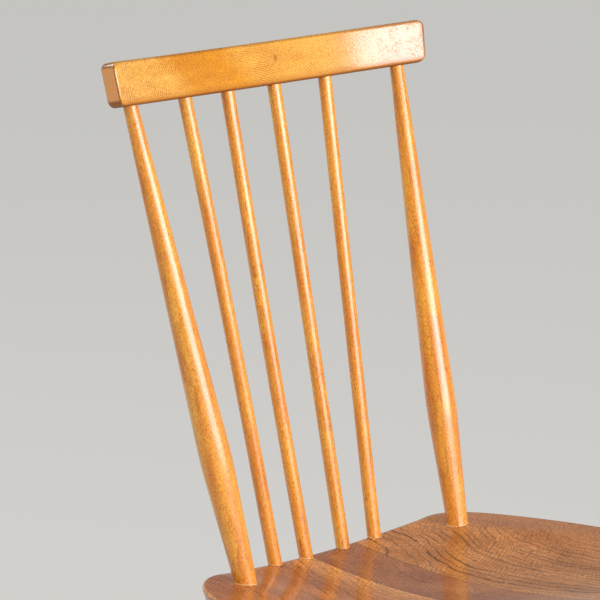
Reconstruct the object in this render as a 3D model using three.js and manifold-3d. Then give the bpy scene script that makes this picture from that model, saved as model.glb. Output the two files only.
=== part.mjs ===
// Spindle back dining chair: a dished seat of three glued boards, a bowed crest rail on two bat-shaped
// posts and four spindles, and four splayed legs with an H stretcher.
// Millimetres, Z up. The sitter faces -Y. Plan places are measured from the line of the two back posts.
import * as THREE from 'three';
import { mergeVertices } from 'three/addons/utils/BufferGeometryUtils.js';
import Module from 'manifold-3d';

const wasm = await Module();
wasm.setup();

// Seat: height of its rim, plan outline, edge and dish
const seat_height = 431;
const seat_thickness = 34;
const seat_depth = 420;
const seat_width = 464;
const seat_rear_overhang = 50;
const seat_rear_narrowing = 44;
const seat_front_narrowing = 12;
const seat_widest_share = 0.571;
const rear_corner_width = 60;
const rear_corner_depth = 50;
const rear_edge_bow = 4;
const front_corner_width = 78;
const front_corner_depth = 74;
const front_edge_bow = 9;
const rim_radius = 3.5;
const rear_rim_radius = 14;
const under_rim_radius = 4;
const edge_undercut = 16;
const dish_depth = 17;
const dish_rear_border = 48;
const dish_side_border = 42;
const dish_widening_run = 130;
const dish_deepest_from_rear = 130;
const dish_rear_reach = 162;
const dish_front_reach = 180;
const front_roll_drop = 5;
const front_roll_run = 46;
const middle_board_width = 60;
const middle_board_offset = 10;

// Crest rail: a flat bar bent forward at both ends and leaning back with the posts
const crest_length = 393.6;
const crest_height = 40.2;
const crest_thickness = 18;
const crest_bow = 32.1;
const crest_lean = 12.6;
const crest_rise = 412.5;
const crest_set_back = 134.5;
const crest_corner_radius = 8.2;
const crest_edge_radius = 3;
const crest_end_slant = 5;

// Back posts: turned, thickest a quarter of the way up, glued into the seat and the rail
const post_from_seat_side = 49;
const post_from_crest_end = 26.6;
const post_foot_diameter = 19.8;
const post_swell_diameter = 28.8;
const wall_beside_post_head = 2.4;
const post_swell_height = 111;
const post_knee_length = 34;

// Spindles: four slim turned rods behind the line of the posts
const spindle_from_rear = 11.5;
const inner_spindle_foot = 24;
const outer_spindle_foot = 65.6;
const inner_spindle_head = 29.8;
const outer_spindle_head = 89.5;
const spindle_foot_diameter = 13.1;
const wall_beside_spindle_head = 2.6;

// Glued joints of the back: straight tenons in the seat, tapered ones in the rail
const wood_under_post = 11;
const wood_under_spindle = 15;
const wood_over_rail_tenon = 15;
const rail_tenon_taper = 1.7;

// Legs: turned, thickest below the seat, splayed out from their sockets
const front_leg_from_front = 72;
const front_leg_from_side = 64;
const rear_leg_from_rear = 92;
const rear_leg_from_side = 53;
const front_leg_side_splay = 44;
const front_leg_front_splay = 40;
const rear_leg_side_splay = 52;
const rear_leg_back_splay = 112;
const leg_head_diameter = 23;
const leg_swell_diameter = 33;
const leg_foot_diameter = 21;
const leg_swell_drop = 138;
const leg_knee_length = 60;
const wood_over_leg = 15;

// Stretchers: a turned one on each side and one across between them
const side_stretcher_height = 172;
const side_stretcher_end_diameter = 14;
const side_stretcher_swell_diameter = 21.5;
const side_stretcher_tenon = 13;
const cross_stretcher_end_diameter = 12;
const cross_stretcher_swell_diameter = 19.5;
const cross_stretcher_tenon = 9;
const stretcher_knee_length = 90;

// Floor glides: a nylon disc on a nail in each foot
const glide_diameter = 18;
const glide_thickness = 4;
const glide_edge_radius = 1;
const nail_diameter = 2.6;
const nail_length = 15;

// Fits, chamfers and cutting overruns
const joint_clearance = 0.3;
const tenon_chamfer = 1.2;
const cut_overrun = 20;

// Finishes
const lacquered_rod = { color: 0xe0973c, roughness: 0.3, metalness: 0 };
const lacquered_rail = { color: 0xe29a44, roughness: 0.3, metalness: 0 };
const stained_seat = { color: 0xa9683c, roughness: 0.28, metalness: 0 };
const stained_seat_dark = { color: 0x925534, roughness: 0.28, metalness: 0 };
const white_nylon = { color: 0xd9d6cc, roughness: 0.5, metalness: 0 };

const rod_sides = 20;
const spindle_sides = 16;
const glide_sides = 16;
const degrees = Math.PI / 180;

const chair = new THREE.Group();
const frame = new THREE.Group();
chair.add(frame);

function makePiece(name, geometry, finish) {
  const piece = new THREE.Mesh(geometry, new THREE.MeshStandardMaterial(finish));
  piece.name = name;
  frame.add(piece);
  return piece;
}

// Closed solids for the joiner, with shared corners merged and needle triangles at the poles left out
function toSolid(geometry, placement) {
  let bare = geometry.clone();
  for (const attribute of ['normal', 'uv']) bare.deleteAttribute(attribute);
  if (placement) bare.applyMatrix4(placement);
  bare = mergeVertices(bare, joint_clearance / 1000);
  const corners = bare.index.array;
  const triangles = [];
  for (let i = 0; i < corners.length; i += 3) {
    const [a, b, c] = corners.slice(i, i + 3);
    if (a !== b && b !== c && c !== a) triangles.push(a, b, c);
  }
  return new wasm.Manifold(new wasm.Mesh({
    numProp: 3,
    vertProperties: Float32Array.from(bare.attributes.position.array),
    triVerts: Uint32Array.from(triangles),
  }));
}

function toGeometry(solid) {
  const mesh = solid.getMesh();
  const geometry = new THREE.BufferGeometry();
  geometry.setAttribute('position', new THREE.BufferAttribute(Float32Array.from(mesh.vertProperties), 3));
  geometry.setIndex(new THREE.BufferAttribute(Uint32Array.from(mesh.triVerts), 1));
  geometry.computeVertexNormals();
  return geometry;
}

// Rings of equal point count are skinned one to the next and closed by a fan at each end
function skinRings(rings, firstPole, lastPole) {
  const count = rings[0].length;
  const points = [firstPole, ...rings.flat(), lastPole];
  const last = points.length - 1;
  const index = [];
  for (let i = 0; i < count; i += 1) {
    const next = (i + 1) % count;
    index.push(0, 1 + i, 1 + next);
    for (let ring = 0; ring + 1 < rings.length; ring += 1) {
      const upper = 1 + ring * count;
      const lower = upper + count;
      index.push(upper + i, lower + i, lower + next);
      index.push(upper + i, lower + next, upper + next);
    }
    index.push(last, last - count + next, last - count + i);
  }
  const geometry = new THREE.BufferGeometry().setFromPoints(points);
  geometry.setIndex(index);
  geometry.computeVertexNormals();
  return geometry;
}

// Turned rods. A profile is a list of [distance along the axis, radius] from the first end to the second.
function turn(profile, sides) {
  const ends = [[profile[0][0], 0], ...profile, [profile[profile.length - 1][0], 0]];
  return new THREE.LatheGeometry(ends.map(([along, radius]) => new THREE.Vector2(radius, along)), sides);
}

// The socket for a rod is the rod's own shape, grown all round by the clearance of the joint
function grow(profile) {
  const last = profile.length - 1;
  return profile.map(([along, radius], i) => {
    const ending = (i === 0 ? -joint_clearance : 0) + (i === last ? joint_clearance : 0);
    return [along + ending, radius + joint_clearance];
  });
}

function radiusAt(profile, along) {
  const above = Math.max(1, profile.findIndex(([place]) => place >= along));
  const [lowPlace, lowRadius] = profile[above - 1];
  const [highPlace, highRadius] = profile[above];
  return lowRadius + (highRadius - lowRadius) * (along - lowPlace) / (highPlace - lowPlace);
}

// Two straight tapers that meet in a rounded knee at the swell of a turned rod
function swellKnee(start, swell, end, kneeLength, steps) {
  const toSwell = swell[0] - start[0];
  const fromSwell = end[0] - swell[0];
  const reach = Math.min(kneeLength / 2, toSwell, fromSwell);
  const before = new THREE.Vector2(swell[0] - reach, swell[1] + (start[1] - swell[1]) * reach / toSwell);
  const after = new THREE.Vector2(swell[0] + reach, swell[1] + (end[1] - swell[1]) * reach / fromSwell);
  const knee = new THREE.QuadraticBezierCurve(before, new THREE.Vector2(...swell), after);
  return knee.getPoints(steps).map(point => [point.x, point.y]);
}

// A rod is placed with its axis from one point to another, its profile starting at the first
function placeRod(rod, from, to) {
  rod.position.copy(from);
  rod.quaternion.setFromUnitVectors(new THREE.Vector3(0, 1, 0), to.clone().sub(from).normalize());
  rod.updateMatrix();
}

function makeRod(name, profile, sides, finish, from, to) {
  const rod = makePiece(name, turn(profile, sides), finish);
  placeRod(rod, from, to);
  rod.userData.profile = profile;
  rod.userData.sides = sides;
  return rod;
}

function cutSockets(piece, rods) {
  piece.updateMatrix();
  const toPiece = piece.matrix.clone().invert();
  let solid = toSolid(piece.geometry);
  for (const rod of rods) {
    const socket = turn(grow(rod.userData.profile), rod.userData.sides);
    solid = solid.subtract(toSolid(socket, toPiece.clone().multiply(rod.matrix)));
  }
  piece.geometry = toGeometry(solid);
}

// Seat outline: knots on the right half, each with its heading, joined by arc-like curves
const seat_rear = seat_rear_overhang;
const seat_front = seat_rear - seat_depth;
const seat_half_width = seat_width / 2;
const rear_half_width = seat_half_width - seat_rear_narrowing;
const front_half_width = seat_half_width - seat_front_narrowing;
const outline_knots = [
  { x: 0, y: seat_rear, heading: 0 },
  { x: rear_half_width - rear_corner_width, y: seat_rear - rear_edge_bow, heading: -6 },
  { x: rear_half_width, y: seat_rear - rear_edge_bow - rear_corner_depth, heading: -65 },
  { x: seat_half_width, y: seat_rear - seat_depth * seat_widest_share, heading: -90 },
  { x: front_half_width, y: seat_front + front_edge_bow + front_corner_depth, heading: -97 },
  { x: front_half_width - front_corner_width, y: seat_front + front_edge_bow, heading: -173 },
  { x: 0, y: seat_front, heading: -180 },
];
const outline_steps = [5, 8, 7, 6, 9, 6];
const least_turn = 1;

function arcLike(from, to) {
  const turnAngle = Math.max(Math.abs(to.heading - from.heading), least_turn) * degrees;
  const chord = Math.hypot(to.x - from.x, to.y - from.y);
  const handle = chord * (2 / 3) * Math.tan(turnAngle / 4) / Math.sin(turnAngle / 2);
  const start = new THREE.Vector2(from.x, from.y);
  const end = new THREE.Vector2(to.x, to.y);
  const leave = new THREE.Vector2(Math.cos(from.heading * degrees), Math.sin(from.heading * degrees));
  const arrive = new THREE.Vector2(Math.cos(to.heading * degrees), Math.sin(to.heading * degrees));
  return new THREE.CubicBezierCurve(
    start, start.clone().addScaledVector(leave, handle), end.clone().addScaledVector(arrive, -handle), end);
}

// Each outline place has its point and the direction straight out of the edge
function seatOutline() {
  const half = [];
  outline_steps.forEach((steps, i) => {
    const curve = arcLike(outline_knots[i], outline_knots[i + 1]);
    for (let step = 0; step < steps; step += 1) {
      const along = curve.getTangent(step / steps);
      half.push({ point: curve.getPoint(step / steps), out: new THREE.Vector2(-along.y, along.x) });
    }
  });
  half[0].out.set(0, 1);
  const nose = { point: new THREE.Vector2(0, seat_front), out: new THREE.Vector2(0, -1) };
  const mirror = ({ point, out }) => ({
    point: new THREE.Vector2(-point.x, point.y),
    out: new THREE.Vector2(-out.x, out.y),
  });
  return [...half, nose, ...half.slice(1).reverse().map(mirror)];
}

// Height of the seat's top above its rim: a broad hollow, open towards the back edge, with the front
// edge rolled over. The blend keeps the hollow smooth where it runs out.
const hollow_blend_share = 0.12;
const dish_rear_half_width = rear_half_width - dish_rear_border;
const dish_side_half_width = seat_half_width - dish_side_border;

function runOut(value) {
  return (value + Math.hypot(value, hollow_blend_share)) / 2;
}

function seatTop(x, y) {
  const deepest = seat_rear - dish_deepest_from_rear;
  const widening = THREE.MathUtils.smoothstep(-y, 0, dish_widening_run);
  const halfWidth = dish_rear_half_width + (dish_side_half_width - dish_rear_half_width) * widening;
  const reach = y > deepest ? dish_rear_reach : dish_front_reach;
  const across = runOut(1 - (x / halfWidth) ** 2);
  const lengthwise = runOut(1 - ((y - deepest) / reach) ** 2);
  const roll = Math.max(0, 1 - (y - seat_front) / front_roll_run);
  return -dish_depth * across * lengthwise - front_roll_drop * roll * roll;
}

// Seat blank: the top runs over a rounded rim, down an undercut edge and round to the flat underside
function seatBlank() {
  const outline = seatOutline();
  const centre = new THREE.Vector2(0, (seat_rear + seat_front) / 2);
  const top_ring_shares = [0.14, 0.3, 0.46, 0.62, 0.76, 0.89];
  const rim_steps = 4;
  const under_steps = 2;
  const undercut = Math.tan(edge_undercut * degrees);
  const faceAngle = (90 + edge_undercut) * degrees;
  const rear_falloff = 8;
  const rimRadius = outline.map(({ out }) => {
    const rearward = Math.max(0, out.y) ** rear_falloff;
    return rim_radius + (rear_rim_radius - rim_radius) * rearward;
  });
  const inset = (place, distance) => place.point.clone().addScaledVector(place.out, -distance);
  const rings = top_ring_shares.map(share => outline.map((place, i) => {
    const plan = inset(place, rimRadius[i]).sub(centre).multiplyScalar(share).add(centre);
    return new THREE.Vector3(plan.x, plan.y, seatTop(plan.x, plan.y));
  }));
  for (let step = 0; step <= rim_steps; step += 1) {
    const angle = faceAngle * step / rim_steps;
    rings.push(outline.map((place, i) => {
      const radius = rimRadius[i];
      const start = inset(place, radius);
      const plan = inset(place, radius - radius * Math.sin(angle));
      const height = seatTop(start.x, start.y) - radius + radius * Math.cos(angle);
      return new THREE.Vector3(plan.x, plan.y, height);
    }));
  }
  const edge = rings[rings.length - 1];
  for (let step = 0; step <= under_steps; step += 1) {
    const angle = faceAngle + (Math.PI - faceAngle) * step / under_steps;
    rings.push(outline.map((place, i) => {
      const radius = under_rim_radius;
      const faceEnd = -seat_thickness + radius + radius * Math.cos(faceAngle);
      const faceInset = rimRadius[i] - rimRadius[i] * Math.sin(faceAngle) + (edge[i].z - faceEnd) * undercut;
      const plan = inset(place, faceInset + radius * Math.sin(faceAngle) - radius * Math.sin(angle));
      return new THREE.Vector3(plan.x, plan.y, -seat_thickness + radius + radius * Math.cos(angle));
    }));
  }
  rings.forEach(ring => ring.reverse());
  const topPole = new THREE.Vector3(centre.x, centre.y, seatTop(centre.x, centre.y));
  const underPole = new THREE.Vector3(centre.x, centre.y, -seat_thickness);
  return skinRings(rings, topPole, underPole);
}

// Crest rail in its own frame: X along it, Y back, Z up from the middle of its lower edge. Its ends are
// sawn aslant, in line with the splay of the posts, so its upper edge is the longer one.
const crest_curve_radius = (crest_length ** 2 / 4 + crest_bow ** 2) / (2 * crest_bow);

function crestPoint(x, forward, up) {
  const bow = crest_curve_radius - Math.sqrt((crest_curve_radius - forward) ** 2 - x * x);
  return new THREE.Vector3(x, -bow, up);
}

function crestSection(x) {
  const fromEnd = crest_length / 2 - Math.abs(x);
  const shrink = radius => {
    const inside = Math.max(0, radius - fromEnd);
    return radius - Math.sqrt(Math.max(0, radius * radius - inside * inside));
  };
  const halfHeight = crest_height / 2 - shrink(crest_corner_radius);
  const halfThickness = crest_thickness / 2 - shrink(crest_edge_radius);
  const corner_steps = 3;
  const section = [];
  for (let corner = 0; corner < 4; corner += 1) {
    const side = corner === 0 || corner === 3 ? 1 : -1;
    const level = corner < 2 ? 1 : -1;
    for (let step = 0; step <= corner_steps; step += 1) {
      const angle = (corner + step / corner_steps) * Math.PI / 2;
      const forward = side * (halfThickness - crest_edge_radius) + crest_edge_radius * Math.cos(angle);
      const up = level * (halfHeight - crest_edge_radius) + crest_edge_radius * Math.sin(angle);
      const spread = 1 + up * Math.tan(crest_end_slant * degrees) / (crest_length / 2);
      section.push(crestPoint(x * spread, forward, crest_height / 2 + up));
    }
  }
  return section;
}

function crestBar() {
  const end_steps = 4;
  const span_steps = 18;
  const half = crest_length / 2;
  const stations = [];
  for (let step = 0; step < end_steps; step += 1) {
    const angle = step / end_steps * Math.PI / 2;
    stations.push(crest_corner_radius * (1 - Math.cos(angle)) - half);
  }
  for (let step = 0; step <= span_steps; step += 1) {
    stations.push((half - crest_corner_radius) * (2 * step / span_steps - 1));
  }
  for (let step = end_steps - 1; step >= 0; step -= 1) stations.push(-stations[step]);
  const rings = stations.map(crestSection);
  return skinRings(rings, crestPoint(-half, 0, crest_height / 2), crestPoint(half, 0, crest_height / 2));
}

const crest = makePiece('crest_rail', crestBar(), lacquered_rail);
crest.position.set(0, crest_set_back, seat_height + crest_rise);
crest.rotation.x = -crest_lean * degrees;
crest.updateMatrix();

// Posts and spindles run from the seat's top to the middle of the rail's lower edge
function seatPoint(x, y) {
  return new THREE.Vector3(x, y, seat_height + seatTop(x, y));
}

function railPoint(x) {
  return crestPoint(x, 0, 0).applyMatrix4(crest.matrix);
}

const rail_tenon = crest_height - wood_over_rail_tenon;

function backRodProfile(length, foot, head, seatTenon, middle) {
  const footRadius = foot / 2;
  const headRadius = head / 2;
  return [
    [-seatTenon, footRadius - tenon_chamfer],
    [tenon_chamfer - seatTenon, footRadius],
    [0, footRadius],
    ...middle,
    [length, headRadius],
    [length + rail_tenon - tenon_chamfer, headRadius - rail_tenon_taper / 2],
    [length + rail_tenon, headRadius - rail_tenon_taper / 2 - tenon_chamfer],
  ];
}

const post_foot_x = rear_half_width - post_from_seat_side;
const post_head_x = crest_length / 2 - post_from_crest_end;
const post_head_diameter = crest_thickness - 2 * wall_beside_post_head;
const post_seat_tenon = seat_thickness - wood_under_post;
const back_rods = [];
for (const [side, sign] of [['left', -1], ['right', 1]]) {
  const foot = seatPoint(sign * post_foot_x, 0);
  const head = railPoint(sign * post_head_x);
  const length = foot.distanceTo(head);
  const knee_steps = 4;
  const knee = swellKnee([0, post_foot_diameter / 2], [post_swell_height, post_swell_diameter / 2],
    [length, post_head_diameter / 2], post_knee_length, knee_steps);
  const profile = backRodProfile(length, post_foot_diameter, post_head_diameter, post_seat_tenon, knee);
  back_rods.push(makeRod(`back_post_${side}`, profile, rod_sides, lacquered_rod, foot, head));
}

const spindle_y = seat_rear - spindle_from_rear;
const spindle_head_diameter = crest_thickness - 2 * wall_beside_spindle_head;
const spindle_seat_tenon = seat_thickness - wood_under_spindle;
const spindle_places = [
  [-outer_spindle_foot, -outer_spindle_head],
  [-inner_spindle_foot, -inner_spindle_head],
  [inner_spindle_foot, inner_spindle_head],
  [outer_spindle_foot, outer_spindle_head],
];
spindle_places.forEach(([footX, headX], i) => {
  const foot = seatPoint(footX, spindle_y);
  const head = railPoint(headX);
  const profile = backRodProfile(foot.distanceTo(head), spindle_foot_diameter, spindle_head_diameter,
    spindle_seat_tenon, []);
  back_rods.push(makeRod(`spindle_${i + 1}`, profile, spindle_sides, lacquered_rod, foot, head));
});
cutSockets(crest, back_rods);

// Legs run from the seat's underside to the glides and are sawn level at the foot
const seat_underside = seat_height - seat_thickness;
const leg_tenon = seat_thickness - wood_over_leg;
const foot_level = glide_thickness + joint_clearance;
const legs = {};
for (const [side, sign] of [['left', -1], ['right', 1]]) {
  for (const end of ['front', 'rear']) {
    const isFront = end === 'front';
    const head = new THREE.Vector3(
      sign * (isFront ? front_half_width - front_leg_from_side : rear_half_width - rear_leg_from_side),
      isFront ? seat_front + front_leg_from_front : seat_rear - rear_leg_from_rear,
      seat_underside);
    const foot = new THREE.Vector3(
      head.x + sign * (isFront ? front_leg_side_splay : rear_leg_side_splay),
      head.y + (isFront ? -front_leg_front_splay : rear_leg_back_splay),
      foot_level);
    const length = head.distanceTo(foot);
    const knee_steps = 4;
    const knee = swellKnee([0, leg_head_diameter / 2], [leg_swell_drop, leg_swell_diameter / 2],
      [length, leg_foot_diameter / 2], leg_knee_length, knee_steps);
    const profile = [
      [-leg_tenon, leg_head_diameter / 2 - tenon_chamfer],
      [tenon_chamfer - leg_tenon, leg_head_diameter / 2],
      [0, leg_head_diameter / 2],
      ...knee,
      [length, leg_foot_diameter / 2],
      [length + leg_foot_diameter / 2, leg_foot_diameter / 2],
    ];
    const leg = makeRod(`leg_${end}_${side}`, profile, rod_sides, lacquered_rod, head, foot);
    legs[`${end}_${side}`] = { leg, head, foot };
  }
}

// The point of a leg's axis at a height above the floor, and the leg's radius there
function legAxisAt({ leg, head, foot }, height) {
  const point = head.clone().lerp(foot, (head.z - height) / (head.z - foot.z));
  return { point, radius: radiusAt(leg.userData.profile, head.distanceTo(point)) };
}

// A stretcher is a rod swelled in the middle, with a straight tenon in the piece at each end
function makeStretcher(name, from, to, endDiameter, swellDiameter, tenon) {
  const length = from.point.distanceTo(to.point);
  const endRadius = endDiameter / 2;
  const start = [from.radius, endRadius];
  const end = [length - to.radius, endRadius];
  const swell = [(start[0] + end[0]) / 2, swellDiameter / 2];
  const knee_steps = 4;
  const profile = [
    [from.radius - tenon, endRadius - tenon_chamfer],
    [from.radius - tenon + tenon_chamfer, endRadius],
    start,
    ...swellKnee(start, swell, end, stretcher_knee_length, knee_steps),
    end,
    [length - to.radius + tenon - tenon_chamfer, endRadius],
    [length - to.radius + tenon, endRadius - tenon_chamfer],
  ];
  return makeRod(name, profile, spindle_sides, lacquered_rod, from.point, to.point);
}

const side_stretchers = {};
for (const side of ['left', 'right']) {
  const front = legAxisAt(legs[`front_${side}`], side_stretcher_height);
  const rear = legAxisAt(legs[`rear_${side}`], side_stretcher_height);
  side_stretchers[side] = makeStretcher(`side_stretcher_${side}`, front, rear,
    side_stretcher_end_diameter, side_stretcher_swell_diameter, side_stretcher_tenon);
}

function stretcherMiddle(stretcher) {
  const { profile } = stretcher.userData;
  const along = (profile[0][0] + profile[profile.length - 1][0]) / 2;
  const point = new THREE.Vector3(0, along, 0).applyMatrix4(stretcher.matrix);
  return { point, radius: radiusAt(profile, along) };
}

const cross_stretcher = makeStretcher('cross_stretcher',
  stretcherMiddle(side_stretchers.left), stretcherMiddle(side_stretchers.right),
  cross_stretcher_end_diameter, cross_stretcher_swell_diameter, cross_stretcher_tenon);
for (const side of ['left', 'right']) cutSockets(side_stretchers[side], [cross_stretcher]);

// Glides: each nail goes straight up into the middle of its foot
const glide_profile = [
  [0, glide_diameter / 2 - glide_edge_radius],
  [glide_edge_radius, glide_diameter / 2],
  [glide_thickness, glide_diameter / 2],
  [glide_thickness, nail_diameter / 2],
  [glide_thickness + nail_length - nail_diameter, nail_diameter / 2],
];
const nail_profile = [
  [-cut_overrun, nail_diameter / 2],
  [glide_thickness + nail_length, nail_diameter / 2],
];

function makeGlide(place, foot) {
  const tip = [glide_thickness + nail_length, 0];
  const outline = [[0, 0], ...glide_profile, tip];
  const points = outline.map(([along, radius]) => new THREE.Vector2(radius, along));
  const glide = makePiece(`glide_${place}`, new THREE.LatheGeometry(points, glide_sides), white_nylon);
  placeRod(glide, new THREE.Vector3(foot.x, foot.y, 0), foot);
  glide.userData.profile = nail_profile;
  glide.userData.sides = glide_sides;
  return glide;
}

// A leg loses what hangs below the level of its foot, the bore for its nail and its stretcher's socket
for (const [place, { leg, foot }] of Object.entries(legs)) {
  const side = place.split('_')[1];
  const glide = makeGlide(place, foot);
  cutSockets(leg, [side_stretchers[side], glide]);
  const block = new THREE.BoxGeometry(leg_swell_diameter * 2, leg_swell_diameter * 2, cut_overrun);
  block.translate(foot.x, foot.y, foot_level - cut_overrun / 2);
  const toLeg = leg.matrix.clone().invert();
  leg.geometry = toGeometry(toSolid(leg.geometry).subtract(toSolid(block, toLeg)));
}

// Seat boards: the blank with its sockets, parted along the two glue lines
const seat_blank = new THREE.Mesh(seatBlank());
seat_blank.position.set(0, 0, seat_height);
cutSockets(seat_blank, [...back_rods, ...Object.values(legs).map(({ leg }) => leg)]);
const seat_solid = toSolid(seat_blank.geometry);
const seat_reach = seat_half_width + cut_overrun;
const left_seam = middle_board_offset - middle_board_width / 2;
const right_seam = middle_board_offset + middle_board_width / 2;
const board_places = [
  ['seat_board_left', -seat_reach, left_seam, stained_seat],
  ['seat_board_middle', left_seam, right_seam, stained_seat_dark],
  ['seat_board_right', right_seam, seat_reach, stained_seat],
];
for (const [name, from, to, finish] of board_places) {
  const slab = new THREE.BoxGeometry(
    to - from, (seat_depth + cut_overrun) * 2, (seat_thickness + cut_overrun) * 2);
  slab.translate((from + to) / 2, 0, 0);
  const board = makePiece(name, toGeometry(seat_solid.intersect(toSolid(slab))), finish);
  board.position.copy(seat_blank.position);
}

// The chair's reference point is on the floor, under the middle of its box
const extent = new THREE.Box3().setFromObject(frame, true);
frame.position.y = -(extent.min.y + extent.max.y) / 2;

export default chair;
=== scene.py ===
import math
import random

import bmesh
import bpy
import numpy as np
from mathutils import Matrix, Vector


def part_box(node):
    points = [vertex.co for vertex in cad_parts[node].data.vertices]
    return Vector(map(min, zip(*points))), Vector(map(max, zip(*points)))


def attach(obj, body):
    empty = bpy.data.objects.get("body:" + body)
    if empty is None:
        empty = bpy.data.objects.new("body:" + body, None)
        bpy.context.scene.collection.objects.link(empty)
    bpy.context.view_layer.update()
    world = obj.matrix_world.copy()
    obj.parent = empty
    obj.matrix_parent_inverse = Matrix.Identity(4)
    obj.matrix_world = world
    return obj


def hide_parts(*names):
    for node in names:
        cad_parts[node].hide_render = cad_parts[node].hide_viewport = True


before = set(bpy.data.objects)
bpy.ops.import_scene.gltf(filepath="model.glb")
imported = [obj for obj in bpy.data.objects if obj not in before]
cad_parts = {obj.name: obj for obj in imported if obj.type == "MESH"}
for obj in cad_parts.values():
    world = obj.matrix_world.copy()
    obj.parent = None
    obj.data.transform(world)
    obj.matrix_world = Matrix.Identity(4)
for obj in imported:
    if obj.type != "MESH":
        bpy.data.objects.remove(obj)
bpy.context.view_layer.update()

# Seat blank: three sawn boards of stained ash glued edge to edge, then dished, undercut and rounded
# over as one piece. Its plan is a rounded shield, widest just behind the middle. The sockets are
# drilled later, when the rods and legs that go into them are known.
seat_height = 0.431
seat_thickness = 0.034
seat_depth = 0.420
seat_width = 0.464
seat_rear = 0.050
seat_front = seat_rear - seat_depth
seat_half_width = seat_width / 2
rear_half_width = seat_half_width - 0.044
front_half_width = seat_half_width - 0.012
widest_share = 0.571
rear_corner = (0.060, 0.050)
rear_bow = 0.004
front_corner = (0.078, 0.074)
front_bow = 0.009
rim_radius = 0.0035
rear_rim_radius = 0.014
rear_rim_falloff = 8
under_radius = 0.004
undercut = math.radians(16)

# Rings of points over the top, as shares of the way out, then round the rim and the lower edge
inmost_share, outmost_share, top_rings = 0.03, 0.975, 44
rim_rings, lower_rings = 12, 5
underside_shares = (0.9, 0.65, 0.35, 0.1)

# The sitter faces -Y. Plan places are measured from the line of the two back posts.
back_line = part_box("seat_board_middle")[1].y - seat_rear

outline_knots = [
    (0, seat_rear, 0),
    (rear_half_width - rear_corner[0], seat_rear - rear_bow, -6),
    (rear_half_width, seat_rear - rear_bow - rear_corner[1], -65),
    (seat_half_width, seat_rear - seat_depth * widest_share, -90),
    (front_half_width, seat_front + front_bow + front_corner[1], -97),
    (front_half_width - front_corner[0], seat_front + front_bow, -173),
    (0, seat_front, -180),
]
outline_steps = [24, 44, 36, 30, 48, 28]


def arc_like(start, end, steps):
    """Points along a smooth arc between two knots (x, y, heading), and the direction out of the edge."""
    turn = math.radians(max(abs(end[2] - start[2]), 1))
    chord = math.hypot(end[0] - start[0], end[1] - start[1])
    handle = chord * (2 / 3) * math.tan(turn / 4) / math.sin(turn / 2)
    leave, arrive = (
        np.array((math.cos(math.radians(k[2])), math.sin(math.radians(k[2])))) for k in (start, end)
    )
    a, d = np.array(start[:2]), np.array(end[:2])
    b, c = a + handle * leave, d - handle * arrive
    t = np.arange(steps)[:, None] / steps
    points = (1 - t) ** 3 * a + 3 * (1 - t) ** 2 * t * b + 3 * (1 - t) * t**2 * c + t**3 * d
    along = (1 - t) ** 2 * (b - a) + 2 * (1 - t) * t * (c - b) + t**2 * (d - c)
    along /= np.linalg.norm(along, axis=1)[:, None]
    return points, np.stack([-along[:, 1], along[:, 0]], 1)


def seat_outline():
    """The plan of the seat, clockwise from the middle of its back edge."""
    pieces = [
        arc_like(outline_knots[i], outline_knots[i + 1], steps)
        for i, steps in enumerate(outline_steps)
    ]
    half = np.concatenate([p for p, _ in pieces])
    out = np.concatenate([o for _, o in pieces])
    out[0] = (0, 1)
    mirror = np.array((-1, 1))
    points = np.concatenate([half, [(0, seat_front)], (half[1:] * mirror)[::-1]])
    outward = np.concatenate([out, [(0, -1)], (out[1:] * mirror)[::-1]])
    return points, outward


# The dish: a broad hollow that is open towards the back edge, with the front edge rolled over
dish_depth = 0.017
dish_rear_half_width = rear_half_width - 0.048
dish_side_half_width = seat_half_width - 0.042
dish_widening_run = 0.130
dish_deepest = seat_rear - 0.130
dish_rear_reach = 0.162
dish_front_reach = 0.180
hollow_blend = 0.12
front_roll_drop = 0.005
front_roll_run = 0.046


def run_out(value):
    """The dish's fall along one way, which runs out softly to nothing."""
    return (value + np.hypot(value, hollow_blend)) / 2


def seat_top(x, y):
    """Height of the seat's top above its rim."""
    step = np.clip(-y / dish_widening_run, 0, 1)
    widening = step * step * (3 - 2 * step)
    half_width = dish_rear_half_width + (dish_side_half_width - dish_rear_half_width) * widening
    reach = np.where(y > dish_deepest, dish_rear_reach, dish_front_reach)
    across = run_out(1 - (x / half_width) ** 2)
    lengthwise = run_out(1 - ((y - dish_deepest) / reach) ** 2)
    roll = np.clip(1 - (y - seat_front) / front_roll_run, 0, None)
    return -dish_depth * across * lengthwise - front_roll_drop * roll**2


def new_object(name, data):
    """An object at the origin, in the scene."""
    thing = bpy.data.objects.new(name, data)
    bpy.context.scene.collection.objects.link(thing)
    return thing


def new_piece(name, points, faces):
    """A closed mesh as an object at the origin, its faces turned outwards."""
    mesh = bpy.data.meshes.new(name)
    mesh.from_pydata([tuple(p) for p in points], [], faces)
    work = bmesh.new()
    work.from_mesh(mesh)
    bmesh.ops.recalc_face_normals(work, faces=work.faces)
    work.to_mesh(mesh)
    work.free()
    return new_object(name, mesh)


def skin_rings(name, rings, first_pole, last_pole):
    """Rings of equal count skinned one to the next, and closed by a fan at each end."""
    count = len(rings[0])
    points = [first_pole] + [p for ring in rings for p in ring] + [last_pole]
    last = len(points) - 1
    faces = []
    for i in range(count):
        after = (i + 1) % count
        faces.append((0, 1 + i, 1 + after))
        for ring in range(len(rings) - 1):
            upper = 1 + ring * count
            lower = upper + count
            faces.append((upper + i, lower + i, lower + after, upper + after))
        faces.append((last, last - count + after, last - count + i))
    return new_piece(name, points, faces)


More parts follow.
